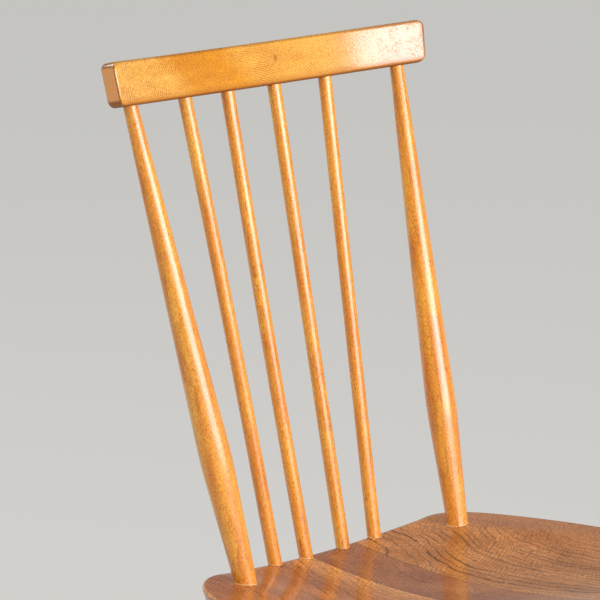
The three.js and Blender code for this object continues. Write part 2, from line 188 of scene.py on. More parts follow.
def seat_blank():
    """The whole seat in rings, from the middle of its top round the edge to the middle underneath."""
    points, out = seat_outline()
    centre = np.array((0, (seat_rear + seat_front) / 2))
    rearward = np.clip(out[:, 1], 0, None) ** rear_rim_falloff
    radius = rim_radius + (rear_rim_radius - rim_radius) * rearward
    face_angle = math.pi / 2 + undercut

    def inset(distance):
        return points - out * np.broadcast_to(distance, radius.shape)[:, None]

    def ring(plan, height):
        places = np.column_stack([plan, np.broadcast_to(height, radius.shape)])
        return places + (0, back_line, seat_height)

    rings = []
    start = inset(radius)
    for share in np.linspace(inmost_share, outmost_share, top_rings):
        plan = (start - centre) * share + centre
        rings.append(ring(plan, seat_top(plan[:, 0], plan[:, 1])))
    edge_height = seat_top(start[:, 0], start[:, 1])
    for angle in np.linspace(0, face_angle, rim_rings):
        plan = inset(radius - radius * math.sin(angle))
        rings.append(ring(plan, edge_height - radius + radius * math.cos(angle)))
    edge = edge_height - radius + radius * math.cos(face_angle)
    face_end = -seat_thickness + under_radius * (1 + math.cos(face_angle))
    face_inset = radius * (1 - math.sin(face_angle)) + (edge - face_end) * math.tan(undercut)
    for angle in np.linspace(face_angle, math.pi, lower_rings):
        plan = inset(face_inset + under_radius * (math.sin(face_angle) - math.sin(angle)))
        rings.append(ring(plan, -seat_thickness + under_radius * (1 + math.cos(angle))))
    for share in underside_shares:
        rings.append(ring((plan - centre) * share + centre, -seat_thickness))
    middle = (centre[0], centre[1] + back_line)
    top = (*middle, seat_height + float(seat_top(*centre)))
    return skin_rings("seat_blank", rings, top, (*middle, seat_height - seat_thickness))


blank = seat_blank()

# Crest rail: one bar of beech, sawn straight, steamed and bent forward at both ends, leaning back on
# the posts. Its corners and edges are rounded over, and its ends are sawn in line with the posts.
crest_length = 0.3936
crest_height = 0.0402
crest_thickness = 0.018
crest_bow = 0.0321
crest_lean = math.radians(12.6)
crest_rise = 0.4125
crest_set_back = 0.1345
crest_corner = 0.0082
crest_edge = 0.003
crest_slant = math.radians(5)
edge_steps, corner_steps, span_stations = 8, 10, 91
crest_curve = (crest_length**2 / 4 + crest_bow**2) / (2 * crest_bow)
crest_place = Matrix.Translation((0, back_line + crest_set_back, seat_height + crest_rise)) @ (
    Matrix.Rotation(-crest_lean, 4, "X")
)


def crest_point(x, forward, up):
    """A place in the bowed and leaning rail, from its middle, its centre line and its lower edge."""
    bow = crest_curve - math.sqrt((crest_curve - forward) ** 2 - x * x)
    return crest_place @ Vector((x, -bow, up))


def crest_section(x):
    """The rounded outline of the rail where it is cut across, smaller towards its rounded ends."""
    from_end = crest_length / 2 - abs(x)

    def shrink(radius):
        inside = max(0, radius - from_end)
        return radius - math.sqrt(max(0, radius**2 - inside**2))

    half_height = crest_height / 2 - shrink(crest_corner)
    half_thickness = crest_thickness / 2 - shrink(crest_edge)
    section = []
    for corner in range(4):
        side = 1 if corner in (0, 3) else -1
        level = 1 if corner < 2 else -1
        for step in range(edge_steps + 1):
            angle = (corner + step / edge_steps) * math.pi / 2
            forward = side * (half_thickness - crest_edge) + crest_edge * math.cos(angle)
            up = level * (half_height - crest_edge) + crest_edge * math.sin(angle)
            spread = 1 + up * math.tan(crest_slant) / (crest_length / 2)
            section.append(crest_point(x * spread, forward, crest_height / 2 + up))
    return section


half = crest_length / 2
end_stations = [
    crest_corner * (1 - math.cos(i / corner_steps * math.pi / 2)) - half for i in range(corner_steps)
]
span = np.linspace(crest_corner - half, half - crest_corner, span_stations)
stations = end_stations + list(span) + [-x for x in reversed(end_stations)]
crest = skin_rings(
    "crest_bar",
    [crest_section(x) for x in stations],
    crest_point(-half, 0, crest_height / 2),
    crest_point(half, 0, crest_height / 2),
)


# Back posts and spindles: turned rods of beech with a straight tenon in the seat and one in the rail.
# A post swells to a knee a quarter of the way up; a spindle tapers hardly at all, and each has dried
# with a slight bend of its own.

# The two kinds of node that come most often, here and in the finishes
maths, ramp = "ShaderNodeMath", "ShaderNodeMapRange"


def set_inputs(node, inputs):
    """Links each input from a socket or a node, or gives it its value."""
    for key, value in inputs.items():
        if isinstance(value, bpy.types.Node):
            value = value.outputs[0]
        if isinstance(value, bpy.types.NodeSocket):
            node.id_data.links.new(value, node.inputs[key])
        else:
            node.inputs[key].default_value = value


def add_node(tree, kind, inputs=None, **settings):
    """One node with its settings and its inputs."""
    node = tree.nodes.new(kind)
    for key, value in settings.items():
        setattr(node, key, value)
    set_inputs(node, inputs or {})
    return node


def turned_rod_tree():
    """Turns a plain cylinder of one unit into a rod of given sizes, at its place and in its wood."""
    tree = bpy.data.node_groups.new("turned_rod", "GeometryNodeTree")
    lengths = ("Length", "Foot Tenon", "Head Tenon", "Foot Radius", "Swell Radius", "Head Radius",
               "Swell Height", "Knee", "Bend", "Chamfer", "Clearance")
    for name in lengths:
        tree.interface.new_socket(name=name, in_out="INPUT", socket_type="NodeSocketFloat")
    for name, kind in (("Sides", "Int"), ("Segments", "Int"), ("Foot", "Vector"),
                       ("Turn", "Vector"), ("Wood", "Material")):
        tree.interface.new_socket(name=name, in_out="INPUT", socket_type="NodeSocket" + kind)
    tree.interface.new_socket(name="Rod", in_out="OUTPUT", socket_type="NodeSocketGeometry")
    given = add_node(tree, "NodeGroupInput").outputs
    blank_rod = add_node(tree, "GeometryNodeMeshCylinder", {
        "Vertices": given["Sides"], "Side Segments": given["Segments"], "Radius": 1.0, "Depth": 1.0,
    }, fill_type="TRIANGLE_FAN")
    place = add_node(tree, "GeometryNodeInputPosition")
    axes = add_node(tree, "ShaderNodeSeparateXYZ", {0: place}).outputs

    # Each step has a name, an operation, and terms: sizes, axes, earlier steps or plain numbers
    known = {**{name: given[name] for name in lengths}, **{axis: axes[axis] for axis in "XYZ"}}
    for name, operation, *terms in (
        # Distance along the rod from its shoulder in the seat, tenons included
        ("share", "ADD", "Z", 0.5),
        ("foot reach", "ADD", "Foot Tenon", "Clearance"),
        ("head reach", "ADD", "Head Tenon", "Clearance"),
        ("reaches", "ADD", "foot reach", "head reach"),
        ("whole", "ADD", "reaches", "Length"),
        ("from end", "MULTIPLY", "share", "whole"),
        ("along", "SUBTRACT", "from end", "foot reach"),
        # Two straight tapers, below and above the swell, blended over the knee
        ("past", "SUBTRACT", "along", "Swell Height"),
        ("above", "SUBTRACT", "Length", "Swell Height"),
        ("gain", "SUBTRACT", "Swell Radius", "Foot Radius"),
        ("loss", "SUBTRACT", "Head Radius", "Swell Radius"),
        ("rise", "DIVIDE", "gain", "Swell Height"),
        ("fall", "DIVIDE", "loss", "above"),
        ("lower", "MULTIPLY_ADD", "past", "rise", "Swell Radius"),
        ("lower", "MAXIMUM", "lower", "Foot Radius"),
        ("upper", "MULTIPLY_ADD", "past", "fall", "Swell Radius"),
        ("upper", "MAXIMUM", "upper", "Head Radius"),
        ("steepness", "SUBTRACT", "rise", "fall"),
        ("blend", "MULTIPLY", "Knee", "steepness"),
        ("radius", "SMOOTH_MIN", "lower", "upper", "blend"),
        # Chamfered tenon ends, half a unit from the blank's middle, and the socket's clearance
        ("from middle", "ABSOLUTE", "Z"),
        ("at end", "GREATER_THAN", "from middle", 0.4999),
        ("cut", "MULTIPLY", "at end", "Chamfer"),
        ("radius", "SUBTRACT", "radius", "cut"),
        ("radius", "ADD", "radius", "Clearance"),
        # A rod's own slight bend between its shoulders
        ("climb", "DIVIDE", "along", "Length"),
        ("climb", "MULTIPLY", "climb", math.pi),
        ("arch", "SINE", "climb"),
        ("arch", "MAXIMUM", "arch", 0.0),
        ("across", "MULTIPLY", "X", "radius"),
        ("across", "MULTIPLY_ADD", "arch", "Bend", "across"),
        ("through", "MULTIPLY", "Y", "radius"),
    ):
        inputs = {i: known.get(term, term) for i, term in enumerate(terms)}
        known[name] = add_node(tree, maths, inputs, operation=operation)
    moved = add_node(tree, "ShaderNodeCombineXYZ",
                     {"X": known["across"], "Y": known["through"], "Z": known["along"]})
    shaped = add_node(tree, "GeometryNodeSetPosition", {"Geometry": blank_rod, "Position": moved})
    placed = add_node(tree, "GeometryNodeTransform",
                      {"Geometry": shaped, "Translation": given["Foot"], "Rotation": given["Turn"]})
    real = add_node(tree, "GeometryNodeRealizeInstances", {"Geometry": placed})
    dressed = add_node(tree, "GeometryNodeSetMaterial", {"Geometry": real, "Material": given["Wood"]})
    add_node(tree, "NodeGroupOutput", {0: dressed})
    return tree


rod_tree = turned_rod_tree()


def rod_axes(foot, head):
    """A rod's own axes: Z up its length, and X level towards the chair's side where it can be."""
    along = (head - foot).normalized()
    side = Vector((0, 1, 0)) if abs(along.x) > 0.9 else Vector((1, 0, 0))
    across = (side - along * side.dot(along)).normalized()
    return Matrix((across, along.cross(across), along)).transposed()


tenon_chamfer = 0.0012


def turn_rod(name, foot, head, sizes, wood=None, clearance=0.0):
    """A turned rod from one point to another as a plain mesh, or the cutter for its socket."""
    values = {
        "Length": (head - foot).length,
        "Foot": foot,
        "Turn": rod_axes(foot, head).to_euler(),
        "Wood": wood,
        "Chamfer": tenon_chamfer,
        "Clearance": clearance,
        **sizes,
    }
    rod = new_object(name, bpy.data.meshes.new(name))
    modifier = rod.modifiers.new("turning", "NODES")
    modifier.node_group = rod_tree
    for item in rod_tree.interface.items_tree:
        if item.in_out == "INPUT" and item.name in values:
            modifier[item.identifier] = values[item.name]
    take_result(rod)
    return rod


def take_result(piece):
    """Turns what the piece's modifiers make into its plain mesh."""
    bpy.context.view_layer.update()
    made = piece.evaluated_get(bpy.context.evaluated_depsgraph_get())
    mesh = bpy.data.meshes.new_from_object(made)
    mesh.name = piece.name
    piece.modifiers.clear()
    piece.data = mesh


def carve(piece, cutters, operation="DIFFERENCE"):
    """Cuts sockets, or keeps what lies inside a block. The cutters are used up."""
    for cutter in cutters:
        modifier = piece.modifiers.new("socket", "BOOLEAN")
        modifier.operation = operation
        modifier.object = cutter
        modifier.solver = "EXACT"
    take_result(piece)
    for cutter in cutters:
        bpy.data.objects.remove(cutter)


arris_angle = math.radians(40)


def finish_piece(piece, finish, node):
    """Smooth faces with crisp arrises, one finish, and the piece's place in the chair."""
    mesh = piece.data
    mesh.materials.clear()
    mesh.materials.append(finish)
    for face in mesh.polygons:
        face.material_index = 0
    mesh.shade_smooth()
    mesh.set_sharp_from_angle(angle=arris_angle)
    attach(piece, "root")
    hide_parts(node)


def seat_point(x, y):
    """The point of the seat's top above a place in its plan."""
    return Vector((x, y + back_line, seat_height + float(seat_top(x, y))))


def linear(hex_colour):
    """An sRGB hex colour as the linear RGBA that Blender's sockets take."""
    parts = [int(hex_colour[i:i + 2], 16) / 255 for i in (1, 3, 5)]
    return [p / 12.92 if p <= 0.04045 else ((p + 0.055) / 1.055) ** 2.4 for p in parts] + [1]


def new_finish(name):
    finish = bpy.data.materials.new(name)
    finish.use_nodes = True
    return finish, finish.node_tree, finish.node_tree.nodes["Principled BSDF"]


def mottle(tree, stock, size, detail=2.0, span=None, shares=(0, 1)):
    """Soft unevenness in patches of a size in millimetres along the stock's three axes. A span of the
    unevenness is spread over two shares."""
    scale = [1 / length for length in size]
    place = add_node(tree, "ShaderNodeMapping", {"Vector": stock, "Scale": scale})
    patches = add_node(tree, "ShaderNodeTexNoise", {"Vector": place, "Scale": 1.0, "Detail": detail})
    if span is None:
        return patches
    levels = {"From Min": span[0], "From Max": span[1], "To Min": shares[0], "To Max": shares[1]}
    return add_node(tree, ramp, {"Value": patches, **levels})


def distance_from(tree, stock, shift, scale):
    """Distance from a place in the stock, which the shift brings to zero after the scale."""
    place = add_node(tree, "ShaderNodeMapping", {"Vector": stock, "Location": shift, "Scale": scale})
    return add_node(tree, "ShaderNodeVectorMath", {0: place}, operation="LENGTH").outputs["Value"]


def layered(tree, ground, *coats):
    """A ground with coats over it, each from its share of the surface, its hex colour and its blend."""
    # Sockets 6 and 7 of a colour mix are the colours under and over
    for share, tint, *blend in coats:
        colours = {0: share, 6: ground, 7: linear(tint)}
        blend_type = blend[0] if blend else "MIX"
        mixed = add_node(tree, "ShaderNodeMix", colours, data_type="RGBA", blend_type=blend_type)
        ground = mixed.outputs[2]
    return ground


# Beech under a honey-tinted lacquer: pale brown with faint growth lines and many short dark ray
# flecks, warmed by the coat, which is smooth and gives a soft-edged highlight. Patterns are sized in
# millimetres of the stock, kept on the mesh as grain_place, with the grain along Z.
def lacquered_beech(name, light, dark, ring_shift, ring_scale, ring_spacing, ring_depth, wandering,
                    flecks, fibre_tint, gloss):
    wood, tree, shader = new_finish(name)
    stock = add_node(tree, "ShaderNodeAttribute", attribute_name="grain_place").outputs["Vector"]
    tone = mottle(tree, stock, (11, 11, 70), 3.0, span=(0.36, 0.66))

    # Growth lines: distance from the heart of the tree, wandering along the grain, faint in places
    wander = mottle(tree, stock, (16, 16, 60))
    ring = distance_from(tree, stock, ring_shift, ring_scale)
    ring = add_node(tree, maths, {0: wander, 1: wandering, 2: ring}, operation="MULTIPLY_ADD")
    ring = add_node(tree, maths, {0: ring, 1: ring_spacing}, operation="DIVIDE")
    ring = add_node(tree, maths, {0: ring}, operation="FRACT")
    ring = add_node(tree, ramp, {"Value": ring, "From Min": 0.35, "From Max": 0.9, "To Max": ring_depth})
    faint = mottle(tree, stock, (13, 13, 30), span=(0.4, 0.64), shares=(0.15, 1))
    ring = add_node(tree, maths, {0: ring, 1: faint}, operation="MULTIPLY")

    # Ray flecks 0.3 mm wide in the real wood, drawn 1 mm wide and 2 mm long so that they show
    fleck = add_node(tree, "ShaderNodeMapping", {"Vector": stock, "Scale": (1 / 1.5, 1 / 1.5, 1 / 3)})
    fleck = add_node(tree, "ShaderNodeTexVoronoi", {"Vector": fleck, "Scale": 1.0})
    fleck = add_node(tree, ramp, {"Value": fleck, "From Min": 0.42, "From Max": 0.16, "To Max": flecks})
    patch = mottle(tree, stock, (7, 7, 26), span=(0.4, 0.62), shares=(0.25, 1))
    fleck = add_node(tree, maths, {0: fleck, 1: patch}, operation="MULTIPLY")

    # Fibres, drawn 0.9 mm apart to show, take the tint unevenly, roughen the wood and show through the film
    fibre = mottle(tree, stock, (0.9, 0.9, 2.2))
    tinted = {"Value": fibre, "From Min": 0.7, "From Max": 0.3, "To Max": fibre_tint}
    tinted = add_node(tree, ramp, tinted)
    rough = {"Value": fibre, "From Min": 0.3, "From Max": 0.7, "To Min": 0.34, "To Max": 0.5}
    film = add_node(tree, maths, {0: fleck, 1: -1.0, 2: fibre}, operation="MULTIPLY_ADD")
    set_inputs(shader, {
        "Base Color": layered(tree, linear(light), (tone, dark), (ring, "#ad560a"), (fleck, "#a8520a"),
                              (tinted, "#dcb068", "MULTIPLY")),
        "Roughness": add_node(tree, ramp, rough),
        "Normal": add_node(tree, "ShaderNodeBump", {"Height": film, "Distance": 0.00004}),
        "Coat Normal": add_node(tree, "ShaderNodeBump", {"Height": film, "Distance": 0.00006}),
        "Specular IOR Level": 0.1, "Coat Weight": 1.0, "Coat IOR": 1.5, "Coat Roughness": gloss,
    })
    return wood, shader, stock


def keep_stock_places(piece, places):
    grain = piece.data.attributes.new("grain_place", "FLOAT_VECTOR", "POINT")
    grain.data.foreach_set("vector", places)


def mark_grain(piece, start, axes, cut):
    """Keeps each point's place in the stock it was turned from, in millimetres."""
    mesh = piece.data
    places = np.empty(len(mesh.vertices) * 3)
    mesh.vertices.foreach_get("co", places)
    stock = (places.reshape(-1, 3) - np.array(start)) @ np.array(axes) * 1000 + np.array(cut)
    keep_stock_places(piece, stock.ravel())


# Each rod is cut from another place of the plank, 50 to 120 mm from the heart
cuts = random.Random(11)


def next_cut():
    away, turn = cuts.uniform(50, 120), cuts.uniform(0, math.tau)
    return away * math.cos(turn), away * math.sin(turn), cuts.uniform(0, 900)


rod_wood, rod_shader, _ = lacquered_beech(
    "honey_lacquered_beech", light="#fdc143", dark="#ea991f", ring_shift=(0, 0, 0),
    ring_scale=(1, 1, 0.02), ring_spacing=3.1, ring_depth=0.45, wandering=7.0, flecks=0.75,
    fibre_tint=1.0, gloss=0.24,
)
rod_shader.inputs["Specular IOR Level"].default_value = 0.4
wood_over_tenon = 0.015
rail_tenon = crest_height - wood_over_tenon

# The room for glue between a tenon and its socket, all round
fit = 0.0001
sockets_in_seat = []
sockets_in_rail = []
feet_on_seat = []


def fit_back_rod(node, foot, head, sizes):
    """Turns a rod of the back, with the cutters for its two sockets."""
    rod = turn_rod(node + "_turned", foot, head, sizes, rod_wood)
    for sockets in (sockets_in_seat, sockets_in_rail):
        sockets.append(turn_rod("socket", foot, head, sizes, clearance=fit))
    feet_on_seat.append((node.removeprefix("back_"), foot, sizes["Foot Radius"]))
    mark_grain(rod, foot, rod_axes(foot, head), next_cut())
    finish_piece(rod, rod_wood, node)


post_sizes = {
    "Foot Tenon": 0.023, "Head Tenon": rail_tenon, "Foot Radius": 0.0099, "Head Radius": 0.0066,
    "Swell Height": 0.111, "Knee": 0.0255, "Sides": 72, "Segments": 96,
}
post_foot_inset, post_head_inset = 0.049, 0.0266
for side, sign, swell, bend in (("left", -1, 0.01465, 0.0), ("right", 1, 0.0144, -0.0007)):
    foot = seat_point(sign * (rear_half_width - post_foot_inset), 0)
    head = crest_point(sign * (crest_length / 2 - post_head_inset), 0, 0)
    fit_back_rod("back_post_" + side, foot, head, {**post_sizes, "Swell Radius": swell, "Bend": bend})

spindle_sizes = {
    "Foot Tenon": 0.019, "Head Tenon": rail_tenon, "Foot Radius": 0.00655, "Swell Radius": 0.0065,
    "Head Radius": 0.0064, "Swell Height": 0.2, "Knee": 0.01, "Sides": 56, "Segments": 96,
}
spindle_row = seat_rear - 0.0115

# Each spindle's foot and head, measured from the middle, and its bend
spindles = [
    (-0.0644, -0.0883, 0.0015), (-0.0244, -0.0298, -0.0014), (0.024, 0.0298, 0.0), (0.066, 0.0906, 0.0),
]
for number, (foot_x, head_x, bend) in enumerate(spindles, 1):
    foot, head = seat_point(foot_x, spindle_row), crest_point(head_x, 0, 0)
    fit_back_rod("spindle_%d" % number, foot, head, {**spindle_sizes, "Bend": bend})


# Squeezed-out glue: a thin bead round each rod where it enters the seat. Dried wood glue is pale and
# glassy, with small bubbles.
dried_glue, tree, shader = new_finish("dried_wood_glue")
glue_place = add_node(tree, "ShaderNodeTexCoord").outputs["Object"]
bubbles = add_node(tree, "ShaderNodeTexNoise", {"Vector": glue_place, "Scale": 900.0, "Detail": 2.0})
pale = add_node(tree, ramp, {"Value": bubbles, "From Min": 0.35, "From Max": 0.65})
pits = {"Height": bubbles, "Strength": 0.4, "Distance": 0.0001}
set_inputs(shader, {
    "Base Color": layered(tree, linear("#cf9752"), (pale, "#e8c48e")),
    "Roughness": add_node(tree, ramp, {"Value": bubbles, "To Min": 0.2, "To Max": 0.4}),
    "Normal": add_node(tree, "ShaderNodeBump", pits),
    "IOR": 1.48,
})
post_bead, spindle_bead = 0.0006, 0.0004
bead_steps, tube_steps = 48, 8
bead_faces = []
for i in range(bead_steps):
    this, after = i * tube_steps, (i + 1) % bead_steps * tube_steps
    for j in range(tube_steps):
        higher = (j + 1) % tube_steps
        bead_faces.append((this + j, this + higher, after + higher, after + j))
for name, foot, radius in feet_on_seat:
    tube = post_bead if name.startswith("post") else spindle_bead
    points = []
    for angle in np.arange(bead_steps) * math.tau / bead_steps:
        for turn in np.arange(tube_steps) * math.tau / tube_steps:
            out = radius + tube * math.cos(turn)
            x, y = foot.x + out * math.cos(angle), foot.y + out * math.sin(angle)
            points.append((x, y, seat_point(x, y - back_line).z + tube * math.sin(turn)))
    bead = new_piece("glue_bead_" + name, points, bead_faces)
    bead.data.materials.append(dried_glue)
    bead.data.shade_smooth()
    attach(bead, "root")


# The crest rail is bored for the rods. Its figure is flat-sawn: fine arcs like a fingerprint, an amber
# zone left of its middle, paler sapwood to the right and one small knot. Shade is painted on the underside,
# along the top arris and towards the lower edge, where it is partly wear, and the arris round the right end
# is darker. The sawn end grain drinks the lacquer and dries a dull pinkish brown.
carve(crest, sockets_in_rail)
crest.name = "crest_rail_bent"
rail_wood, rail_shader, stock = lacquered_beech(
    "honey_lacquered_beech_rail", light="#f3c55d", dark="#ebb64b", ring_shift=(25, 0, 8.4),
    ring_scale=(1, 0.15, 0.7), ring_spacing=2.0, ring_depth=0.62, wandering=6.0, flecks=0.5,
    fibre_tint=0.9, gloss=0.14,
)
tree = rail_wood.node_tree
height, _, length = add_node(tree, "ShaderNodeSeparateXYZ", {0: stock}).outputs

# Bands by height or length in millimetres: where each starts, where it is full, and how strong it is
# Painted shade: low darkens the underside, high the top arris, and the darkening band the lower edge, where
# it is partly wear.
sap, darkening, low, high, tip, rubbed = (
    add_node(tree, ramp, {"Value": along, "From Min": start, "From Max": full, "To Max": strength})
    for along, start, full, strength in (
        (length, 90, 165, 0.8), (height, 8, 2, 0.7), (height, 2.8, 0.6, 0.95),
        (height, 36.8, 39.2, 0.45), (length, 191, 197, 0.85), (height, 7, 2.5, 0.85),
    )
)

# The amber zone, with slanting and uneven borders
slanted = add_node(tree, maths, {0: height, 1: 0.9, 2: length}, operation="MULTIPLY_ADD")
drift = mottle(tree, stock, (12, 12, 40))
slanted = add_node(tree, maths, {0: drift, 1: 40.0, 2: slanted}, operation="MULTIPLY_ADD")
start = add_node(tree, ramp, {"Value": slanted, "From Min": -78, "From Max": -52})
stop = add_node(tree, ramp, {"Value": slanted, "From Min": 38, "From Max": 5})
amber = add_node(tree, maths, {0: start, 1: stop}, operation="MULTIPLY")
amber = add_node(tree, maths, {0: amber, 1: 0.95}, operation="MULTIPLY")

# The knot reaches 5 mm up and down and 3 mm sideways, and sits 24 mm up and 28 mm right of the middle
knot = distance_from(tree, stock, (-24 / 5, 0, -28 / 3), (1 / 5, 0, 1 / 3))
knot = add_node(tree, ramp, {"Value": knot, "From Min": 1.1, "From Max": 0.2, "To Max": 0.65})

# The arrises are darker: painted shade on the underside and the top arris, and a darker arris round the right
# end. At the ends the rounding is darker, and the sawn grain drinks the lacquer.
arris = add_node(tree, maths, {0: low, 1: high}, operation="MAXIMUM")
arris = add_node(tree, maths, {0: arris, 1: tip}, operation="MAXIMUM")
facing = add_node(tree, "ShaderNodeNewGeometry").outputs["Normal"]
endways = add_node(tree, "ShaderNodeSeparateXYZ", {0: facing}).outputs["X"]
endways = add_node(tree, maths, {0: endways}, operation="ABSOLUTE")
rounding = add_node(tree, ramp, {"Value": endways, "From Min": 0.45, "From Max": 0.65, "To Max": 0.8})
sawn = add_node(tree, ramp, {"Value": endways, "From Min": 0.9, "From Max": 0.98, "To Max": 0.85})
peel = mottle(tree, stock, (1.8, 1.8, 2.6))

# The film is thin on the arrises, and dull in clusters of small spots towards the right end
spot = mottle(tree, stock, (2.2, 2.2, 1.6), 1.0, span=(0.5, 0.62), shares=(0, 0.8))
cluster = mottle(tree, stock, (12, 12, 9), span=(0.44, 0.58))
handled = add_node(tree, ramp, {"Value": length, "From Min": 125, "From Max": 165, "To Min": 0.3})
cluster = add_node(tree, maths, {0: cluster, 1: handled}, operation="MULTIPLY")
dull = add_node(tree, maths, {0: spot, 1: cluster}, operation="MULTIPLY")
for thinned in (rubbed, arris):
    dull = add_node(tree, maths, {0: dull, 1: thinned}, operation="MAXIMUM")
# The darkening band and the arris colour paint shade on the lower edge, the underside and the top arris.
set_inputs(rail_shader, {
    "Base Color": layered(
        tree, rail_shader.inputs["Base Color"].links[0].from_socket, (amber, "#eed648", "MULTIPLY"),
        (sap, "#bd885f"), (knot, "#8f4c14"), (darkening, "#ad6a26"), (arris, "#77420c"),
        (rounding, "#8a4708"), (sawn, "#f7ab61")),
    "Coat Normal": add_node(tree, "ShaderNodeBump", {"Height": peel, "Distance": 0.00005}),
    "Coat Weight": add_node(tree, ramp, {"Value": dull, "To Min": 1.0, "To Max": 0.15}),
    "Coat IOR": 1.55,
})

# Unbent and stood upright, the rail's length lies along the stock's Z and its height along X
upright = crest_place.inverted()
stock_places = []
for vertex in crest.data.vertices:
    x, y, z = upright @ vertex.co
    y += crest_curve - math.sqrt(max(0, crest_curve**2 - x * x))
    stock_places += [z * 1000, y * 1000, x * 1000]
keep_stock_places(crest, stock_places)
finish_piece(crest, rail_wood, "crest_rail")

# Legs: turned beech, thickest below the seat, driven into angled sockets and splayed out. Each foot is
# sawn level after glue-up.
glide_thickness, glide_gap = 0.004, 0.0003
foot_level = glide_thickness + glide_gap
leg_sizes = {
    "Foot Tenon": 0.019, "Head Tenon": 0.0105, "Foot Radius": 0.0115, "Swell Radius": 0.0165,
    "Head Radius": 0.0105, "Swell Height": 0.138, "Knee": 0.045, "Sides": 72, "Segments": 96,
}
seat_underside = seat_height - seat_thickness

# Where each leg enters the seat, from the middle and lengthwise, and how far its foot stands out
leg_places = {
    "front": (front_half_width - 0.064, seat_front + 0.072, 0.044, -0.040),
    "rear": (rear_half_width - 0.053, seat_rear - 0.092, 0.052, 0.112),
}
legs = {}
for side, sign in (("left", -1), ("right", 1)):
    for end, (aside, lengthwise, splay, rake) in leg_places.items():
        top = Vector((sign * aside, lengthwise + back_line, seat_underside))
        foot = Vector((top.x + sign * splay, top.y + rake, foot_level))
        leg = turn_rod("leg_%s_%s_turned" % (end, side), top, foot, leg_sizes, rod_wood)
        sockets_in_seat.append(turn_rod("socket", top, foot, leg_sizes, clearance=fit))
        legs[end, side] = leg, top, foot


def leg_axis_at(leg, height):
    """The point of a leg's axis at a height, and the leg's radius there."""
    _, top, foot = leg
    point = top.lerp(foot, (top.z - height) / (top.z - foot.z))
    low = (top - point).length - leg_sizes["Swell Height"]
    fall = leg_sizes["Head Radius"] - leg_sizes["Swell Radius"]
    length = (top - foot).length
    return point, leg_sizes["Swell Radius"] + fall * low / (length - leg_sizes["Swell Height"])


# Stretchers: turned beech rods swelled in the middle, one from front leg to rear leg on each side, and
# one across between them, glued into bored sockets
stretcher_level = 0.172


def stretch(node, start, end, end_diameter, swell_diameter, tenon):
    """A stretcher with the cutters for its sockets, its middle, and its place for the grain."""
    (start_point, start_radius), (end_point, end_radius) = start, end
    along = (end_point - start_point).normalized()
    foot, head = start_point + along * start_radius, end_point - along * end_radius
    sizes = {
        "Foot Tenon": tenon, "Head Tenon": tenon, "Foot Radius": end_diameter / 2,
        "Swell Radius": swell_diameter / 2, "Head Radius": end_diameter / 2,
        "Swell Height": (head - foot).length / 2, "Knee": 0.0675,
        "Sides": 48, "Segments": 72,
    }
    rod = turn_rod(node + "_turned", foot, head, sizes, rod_wood)
    sockets = [turn_rod("socket", foot, head, sizes, clearance=fit) for _ in range(2)]
    middle = (start_point + end_point) / 2, swell_diameter / 2
    return rod, sockets, middle, (foot, rod_axes(foot, head))


side_stretchers = {}
for side in ("left", "right"):
    ends = [leg_axis_at(legs[end, side], stretcher_level) for end in ("front", "rear")]
    rod, sockets, middle, place = stretch(
        "side_stretcher_" + side, *ends, end_diameter=0.014, swell_diameter=0.0215, tenon=0.013)
    for end, socket in zip(("front", "rear"), sockets):
        carve(legs[end, side][0], [socket])
    side_stretchers[side] = rod, middle, place
middles = [middle for _, middle, _ in side_stretchers.values()]
cross, sockets, _, cross_place = stretch(
    "cross_stretcher", *middles, end_diameter=0.012, swell_diameter=0.0195, tenon=0.009)
for (side, (rod, _, place)), socket in zip(side_stretchers.items(), sockets):
    carve(rod, [socket])
    mark_grain(rod, *place, next_cut())
    finish_piece(rod, rod_wood, "side_stretcher_" + side)
mark_grain(cross, *cross_place, next_cut())
finish_piece(cross, rod_wood, "cross_stretcher")

# Floor glides: a moulded nylon disc on a nail that goes up into the middle of each foot. Moulded nylon
# is off-white and waxy, and scuffed where it slides on the floor.
nylon, tree, shader = new_finish("moulded_nylon")
scuff_place = add_node(tree, "ShaderNodeTexCoord").outputs["Object"]
scuff = add_node(tree, "ShaderNodeTexNoise", {"Vector": scuff_place, "Scale": 700.0, "Detail": 4.0})
darkening = add_node(tree, ramp, {"Value": scuff, "From Min": 0.45, "From Max": 0.7, "To Max": 0.5})
scratches = {"Height": scuff, "Strength": 0.4, "Distance": 0.00005}
set_inputs(shader, {
    "Base Color": layered(tree, linear("#dedad0"), (darkening, "#a39a8b")),
    "Roughness": add_node(tree, ramp, {"Value": scuff, "To Min": 0.35, "To Max": 0.6}),
    "Normal": add_node(tree, "ShaderNodeBump", scratches),
    "IOR": 1.53,
})
glide_radius, glide_edge, glide_arris, glide_steps = 0.009, 0.001, 0.0003, 7
nail_radius, nail_length, nail_taper, nail_point = 0.0013, 0.015, 0.002, 0.0002
bore_radius, bore_sides, bore_start = 0.0014, 24, -0.01
saw_reach, saw_depth = 0.04, 0.03


def turn_profile(name, centre, profile, sides=48):
    """A closed solid of revolution about an upright axis, from (height, radius) places."""
    angles = np.arange(sides) * 2 * math.pi / sides
    rings = [
        [(centre.x + radius * math.cos(a), centre.y + radius * math.sin(a), height) for a in angles]
        for height, radius in profile
    ]
    poles = [(centre.x, centre.y, profile[i][0]) for i in (0, -1)]
    return skin_rings(name, rings, *poles)


def box_block(name, low, high):
    corners = [(x, y, z) for x in (low[0], high[0]) for y in (low[1], high[1]) for z in (low[2], high[2])]
    sides = [(0, 1, 3, 2), (4, 6, 7, 5), (0, 4, 5, 1), (2, 3, 7, 6), (0, 2, 6, 4), (1, 5, 7, 3)]
    return new_piece(name, corners, sides)


